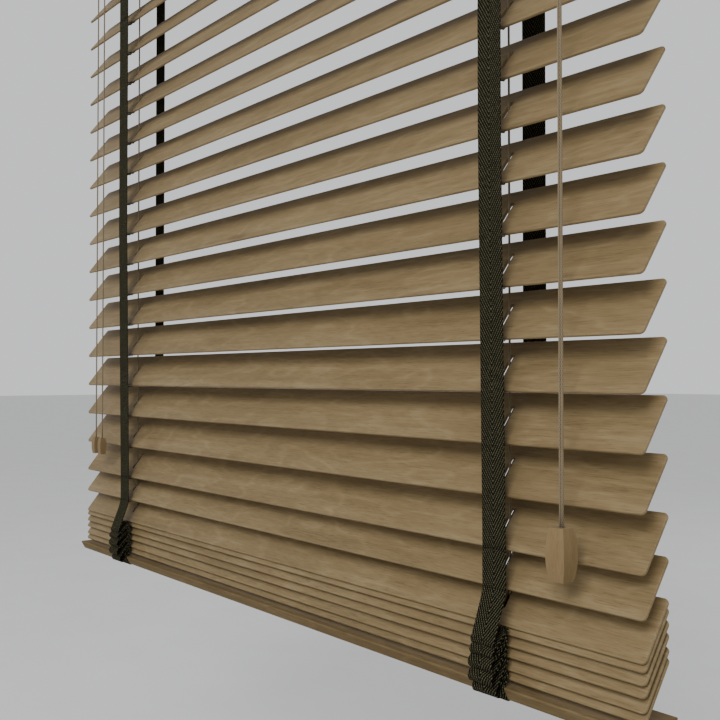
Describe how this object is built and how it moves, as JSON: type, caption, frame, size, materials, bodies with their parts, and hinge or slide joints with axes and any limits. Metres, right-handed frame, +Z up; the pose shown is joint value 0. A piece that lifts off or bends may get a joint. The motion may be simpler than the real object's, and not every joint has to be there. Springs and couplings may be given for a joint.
{
  "type": "venetian blind",
  "caption": "Wooden venetian blind with woven ladder tapes, cord tilt and cord lift, hung from two box brackets and shown nearly lowered.",
  "frame": {"origin": "middle of the four top screw holes, on the top face of the two brackets; the blind hangs below it", "axes": "+X to the right for a person in the room, +Y towards the window, +Z up"},
  "size_m": [0.9314, 0.0749, 0.9205],
  "materials": {
    "slat_wood": "satin stained",
    "toggle_wood": "satin",
    "ladder_tape": "woven herringbone",
    "cord": "braided",
    "painted_steel": "satin",
    "zinc_steel": "zinc plated",
    "brass": "machined",
    "white_plastic": "matte",
    "brown_plastic": "matte",
    "clear_plastic": "translucent"
  },
  "bodies": {
    "root": {"headrail": "painted_steel", "end_caps": "brown_plastic", "brackets": "painted_steel", "valance": "slat_wood", "valance_clips": "clear_plastic", "drum_cradles": "white_plastic", "tilter_housing": "brown_plastic", "cord_lock_housing": "brown_plastic", "lift_cords": "cord", "pull_cords": "cord", "tilt_cord_a": "cord", "tilt_cord_b": "cord"},
    "tilt_shaft": {"tilt_rod": "zinc_steel", "ladder_drums": "white_plastic", "tilter_gear": "white_plastic"},
    "spool": {"tilter_spool": "white_plastic"},
    "front_tape_run": {"front_tapes": "ladder_tape"},
    "rear_tape_run": {"rear_tapes": "ladder_tape"},
    "tilt_pull_a": {"tilt_toggle_a": "toggle_wood"},
    "tilt_pull_b": {"tilt_toggle_b": "toggle_wood"},
    "rail": {"bottom_rail": "slat_wood", "rail_plugs": "brown_plastic", "tape_tails": "ladder_tape"},
    "lift_pull": {"pull_toggle": "toggle_wood"},
    "door_left": {"bracket_door_left": "painted_steel"},
    "door_right": {"bracket_door_right": "painted_steel"},
    "lock_pawl": {"cord_lock_pawl": "zinc_steel"},
    "lock_roller": {"cord_lock_roller": "brass"},
    "slat_01": {"slat_01": "slat_wood"},
    "slat_02": {"slat_02": "slat_wood"},
    "slat_03": {"slat_03": "slat_wood"},
    "slat_04": {"slat_04": "slat_wood"},
    "slat_05": {"slat_05": "slat_wood"},
    "slat_06": {"slat_06": "slat_wood"},
    "slat_07": {"slat_07": "slat_wood"},
    "slat_08": {"slat_08": "slat_wood"},
    "slat_09": {"slat_09": "slat_wood"},
    "slat_10": {"slat_10": "slat_wood"},
    "slat_11": {"slat_11": "slat_wood"},
    "slat_12": {"slat_12": "slat_wood"},
    "slat_13": {"slat_13": "slat_wood"},
    "slat_14": {"slat_14": "slat_wood"},
    "slat_15": {"slat_15": "slat_wood"},
    "slat_16": {"slat_16": "slat_wood"},
    "slat_17": {"slat_17": "slat_wood"},
    "slat_18": {"slat_18": "slat_wood"},
    "slat_19": {"slat_19": "slat_wood"},
    "slat_20": {"slat_20": "slat_wood"},
    "slat_21": {"slat_21": "slat_wood"},
    "slat_22": {"slat_22": "slat_wood"},
    "slat_23": {"slat_23": "slat_wood"},
    "slat_24": {"slat_24": "slat_wood"},
    "slat_25": {"slat_25": "slat_wood"},
    "fold_1": {"tape_fold_1": "ladder_tape"},
    "fold_2": {"tape_fold_2": "ladder_tape"},
    "fold_3": {"tape_fold_3": "ladder_tape"},
    "fold_4": {"tape_fold_4": "ladder_tape"},
    "fold_5": {"tape_fold_5": "ladder_tape"},
    "fold_6": {"tape_fold_6": "ladder_tape"},
    "fold_7": {"tape_fold_7": "ladder_tape"}
  },
  "joints": [
    {"name": "tilt", "type": "hinge", "parent": "root", "child": "slat_01", "pos_m": [0, 0, -0.0885], "axis": [-1, 0, 0], "range_deg": [-8, 112]},
    {"name": "tilt_02", "type": "hinge", "parent": "root", "child": "slat_02", "pos_m": [0, 0, -0.1295], "axis": [-1, 0, 0], "range_deg": [-8, 112]},
    {"name": "tilt_03", "type": "hinge", "parent": "root", "child": "slat_03", "pos_m": [0, 0, -0.1705], "axis": [-1, 0, 0], "range_deg": [-8, 112]},
    {"name": "tilt_04", "type": "hinge", "parent": "root", "child": "slat_04", "pos_m": [0, 0, -0.2115], "axis": [-1, 0, 0], "range_deg": [-8, 112]},
    {"name": "tilt_05", "type": "hinge", "parent": "root", "child": "slat_05", "pos_m": [0, 0, -0.2525], "axis": [-1, 0, 0], "range_deg": [-8, 112]},
    {"name": "tilt_06", "type": "hinge", "parent": "root", "child": "slat_06", "pos_m": [0, 0, -0.2935], "axis": [-1, 0, 0], "range_deg": [-8, 112]},
    {"name": "tilt_07", "type": "hinge", "parent": "root", "child": "slat_07", "pos_m": [0, 0, -0.3345], "axis": [-1, 0, 0], "range_deg": [-8, 112]},
    {"name": "tilt_08", "type": "hinge", "parent": "root", "child": "slat_08", "pos_m": [0, 0, -0.3755], "axis": [-1, 0, 0], "range_deg": [-8, 112]},
    {"name": "tilt_09", "type": "hinge", "parent": "root", "child": "slat_09", "pos_m": [0, 0, -0.4165], "axis": [-1, 0, 0], "range_deg": [-8, 112]},
    {"name": "tilt_10", "type": "hinge", "parent": "root", "child": "slat_10", "pos_m": [0, 0, -0.4575], "axis": [-1, 0, 0], "range_deg": [-8, 112]},
    {"name": "tilt_11", "type": "hinge", "parent": "root", "child": "slat_11", "pos_m": [0, 0, -0.4985], "axis": [-1, 0, 0], "range_deg": [-8, 112]},
    {"name": "tilt_12", "type": "hinge", "parent": "root", "child": "slat_12", "pos_m": [0, 0, -0.5395], "axis": [-1, 0, 0], "range_deg": [-8, 112]},
    {"name": "tilt_13", "type": "hinge", "parent": "root", "child": "slat_13", "pos_m": [0, 0, -0.5805], "axis": [-1, 0, 0], "range_deg": [-8, 112]},
    {"name": "tilt_14", "type": "hinge", "parent": "root", "child": "slat_14", "pos_m": [0, 0, -0.6215], "axis": [-1, 0, 0], "range_deg": [-8, 112]},
    {"name": "tilt_15", "type": "hinge", "parent": "root", "child": "slat_15", "pos_m": [0, 0, -0.6625], "axis": [-1, 0, 0], "range_deg": [-8, 112]},
    {"name": "tilt_16", "type": "hinge", "parent": "root", "child": "slat_16", "pos_m": [0, 0, -0.7035], "axis": [-1, 0, 0], "range_deg": [-8, 112]},
    {"name": "tilt_17", "type": "hinge", "parent": "root", "child": "slat_17", "pos_m": [0, 0, -0.7445], "axis": [-1, 0, 0], "range_deg": [-8, 112]},
    {"name": "tilt_18", "type": "hinge", "parent": "root", "child": "slat_18", "pos_m": [0, 0, -0.7855], "axis": [-1, 0, 0], "range_deg": [-8, 112]},
    {"name": "tilt_19", "type": "hinge", "parent": "fold_1", "child": "slat_19", "pos_m": [0, 0, -0.816], "axis": [-1, 0, 0], "range_deg": [-8, 112]},
    {"name": "tilt_20", "type": "hinge", "parent": "fold_2", "child": "slat_20", "pos_m": [0, 0, -0.8451], "axis": [-1, 0, 0], "range_deg": [-8, 112]},
    {"name": "tilt_21", "type": "hinge", "parent": "fold_3", "child": "slat_21", "pos_m": [0, 0, -0.8509], "axis": [-1, 0, 0], "range_deg": [-8, 112]},
    {"name": "tilt_22", "type": "hinge", "parent": "fold_4", "child": "slat_22", "pos_m": [0, 0, -0.8597], "axis": [-1, 0, 0], "range_deg": [-8, 112]},
    {"name": "tilt_23", "type": "hinge", "parent": "fold_5", "child": "slat_23", "pos_m": [0, 0, -0.8682], "axis": [-1, 0, 0], "range_deg": [-8, 112]},
    {"name": "tilt_24", "type": "hinge", "parent": "fold_6", "child": "slat_24", "pos_m": [0, 0, -0.8783], "axis": [-1, 0, 0], "range_deg": [-8, 112]},
    {"name": "tilt_25", "type": "hinge", "parent": "fold_7", "child": "slat_25", "pos_m": [0, 0, -0.8855], "axis": [-1, 0, 0], "range_deg": [-8, 112]},
    {"name": "fold_1_drop", "type": "slide", "parent": "root", "child": "fold_1", "axis": [0, 0, 1], "range_m": [-0.01055, 0], "deforming": ["tape_fold_1"]},
    {"name": "fold_2_drop", "type": "slide", "parent": "root", "child": "fold_2", "axis": [0, 0, 1], "range_m": [-0.02245, 0], "deforming": ["tape_fold_2"]},
    {"name": "fold_3_drop", "type": "slide", "parent": "root", "child": "fold_3", "axis": [0, 0, 1], "range_m": [-0.05765, 0], "deforming": ["tape_fold_3"]},
    {"name": "fold_4_drop", "type": "slide", "parent": "root", "child": "fold_4", "axis": [0, 0, 1], "range_m": [-0.08985, 0], "deforming": ["tape_fold_4"]},
    {"name": "fold_5_drop", "type": "slide", "parent": "root", "child": "fold_5", "axis": [0, 0, 1], "range_m": [-0.12235, 0], "deforming": ["tape_fold_5"]},
    {"name": "fold_6_drop", "type": "slide", "parent": "root", "child": "fold_6", "axis": [0, 0, 1], "range_m": [-0.15325, 0], "deforming": ["tape_fold_6"]},
    {"name": "fold_7_drop", "type": "slide", "parent": "root", "child": "fold_7", "axis": [0, 0, 1], "range_m": [-0.18705, 0], "deforming": ["tape_fold_7"]},
    {"name": "rod_turn", "type": "hinge", "parent": "root", "child": "tilt_shaft", "pos_m": [0, 0, -0.025], "axis": [-1, 0, 0], "range_deg": [-13.34, 186.68]},
    {"name": "spool_turn", "type": "hinge", "parent": "root", "child": "spool", "pos_m": [-0.3865, 0, -0.0393], "axis": [0, 1, 0], "range_deg": [-53.38, 746.72]},
    {"name": "front_tape_rise", "type": "slide", "parent": "root", "child": "front_tape_run", "axis": [0, 0, 1], "range_m": [-0.00301, 0.04149], "deforming": ["front_tapes"]},
    {"name": "rear_tape_rise", "type": "slide", "parent": "root", "child": "rear_tape_run", "axis": [0, 0, 1], "range_m": [-0.04149, 0.00301], "deforming": ["rear_tapes"]},
    {"name": "tilt_cord_a_pull", "type": "slide", "parent": "root", "child": "tilt_pull_a", "axis": [0, 0, 1], "range_m": [-0.00936, 0.13043], "deforming": ["tilt_cord_a"]},
    {"name": "tilt_cord_b_pull", "type": "slide", "parent": "root", "child": "tilt_pull_b", "axis": [0, 0, 1], "range_m": [-0.13043, 0.00936], "deforming": ["tilt_cord_b"]},
    {"name": "lift", "type": "slide", "parent": "root", "child": "rail", "axis": [0, 0, 1], "range_m": [-0.197, 0], "deforming": ["lift_cords"]},
    {"name": "lift_cord_pull", "type": "slide", "parent": "root", "child": "lift_pull", "axis": [0, 0, 1], "range_m": [0, 0.19705], "deforming": ["pull_cords"]},
    {"name": "door_left_slide", "type": "slide", "parent": "root", "child": "door_left", "axis": [1, 0, 0], "range_m": [0, 0.03]},
    {"name": "door_right_slide", "type": "slide", "parent": "root", "child": "door_right", "axis": [-1, 0, 0], "range_m": [0, 0.03]},
    {"name": "pawl_lift", "type": "hinge", "parent": "root", "child": "lock_pawl", "pos_m": [0.414, 0, -0.033], "axis": [0, 1, 0], "range_deg": [0, 28]},
    {"name": "roller_spin", "type": "hinge", "parent": "root", "child": "lock_roller", "pos_m": [0.401, 0, -0.0394], "axis": [0, 1, 0], "continuous": true}
  ],
  "couplings": [
    {"joint": "tilt_02", "follows": "tilt", "ratio": 1},
    {"joint": "tilt_03", "follows": "tilt", "ratio": 1},
    {"joint": "tilt_04", "follows": "tilt", "ratio": 1},
    {"joint": "tilt_05", "follows": "tilt", "ratio": 1},
    {"joint": "tilt_06", "follows": "tilt", "ratio": 1},
    {"joint": "tilt_07", "follows": "tilt", "ratio": 1},
    {"joint": "tilt_08", "follows": "tilt", "ratio": 1},
    {"joint": "tilt_09", "follows": "tilt", "ratio": 1},
    {"joint": "tilt_10", "follows": "tilt", "ratio": 1},
    {"joint": "tilt_11", "follows": "tilt", "ratio": 1},
    {"joint": "tilt_12", "follows": "tilt", "ratio": 1},
    {"joint": "tilt_13", "follows": "tilt", "ratio": 1},
    {"joint": "tilt_14", "follows": "tilt", "ratio": 1},
    {"joint": "tilt_15", "follows": "tilt", "ratio": 1},
    {"joint": "tilt_16", "follows": "tilt", "ratio": 1},
    {"joint": "tilt_17", "follows": "tilt", "ratio": 1},
    {"joint": "tilt_18", "follows": "tilt", "ratio": 1},
    {"joint": "tilt_19", "follows": "tilt", "ratio": 1},
    {"joint": "tilt_20", "follows": "tilt", "ratio": 1},
    {"joint": "tilt_21", "follows": "tilt", "ratio": 1},
    {"joint": "tilt_22", "follows": "tilt", "ratio": 1},
    {"joint": "tilt_23", "follows": "tilt", "ratio": 1},
    {"joint": "tilt_24", "follows": "tilt", "ratio": 1},
    {"joint": "tilt_25", "follows": "tilt", "ratio": 1},
    {"joint": "fold_1_drop", "follows": "lift", "ratio": 0.053299},
    {"joint": "fold_2_drop", "follows": "lift", "ratio": 0.11371},
    {"joint": "fold_3_drop", "follows": "lift", "ratio": 0.29239},
    {"joint": "fold_4_drop", "follows": "lift", "ratio": 0.45584},
    {"joint": "fold_5_drop", "follows": "lift", "ratio": 0.62081},
    {"joint": "fold_6_drop", "follows": "lift", "ratio": 0.77767},
    {"joint": "fold_7_drop", "follows": "lift", "ratio": 0.94924},
    {"joint": "rod_turn", "follows": "tilt", "ratio": 1.6667},
    {"joint": "spool_turn", "follows": "tilt", "ratio": 6.6667},
    {"joint": "front_tape_rise", "follows": "tilt", "m_per_rad": 0.0212},
    {"joint": "rear_tape_rise", "follows": "tilt", "m_per_rad": -0.0212},
    {"joint": "tilt_cord_a_pull", "follows": "tilt", "m_per_rad": 0.0667},
    {"joint": "tilt_cord_b_pull", "follows": "tilt", "m_per_rad": -0.0667},
    {"joint": "lift_cord_pull", "follows": "lift", "ratio": -1}
  ]
}
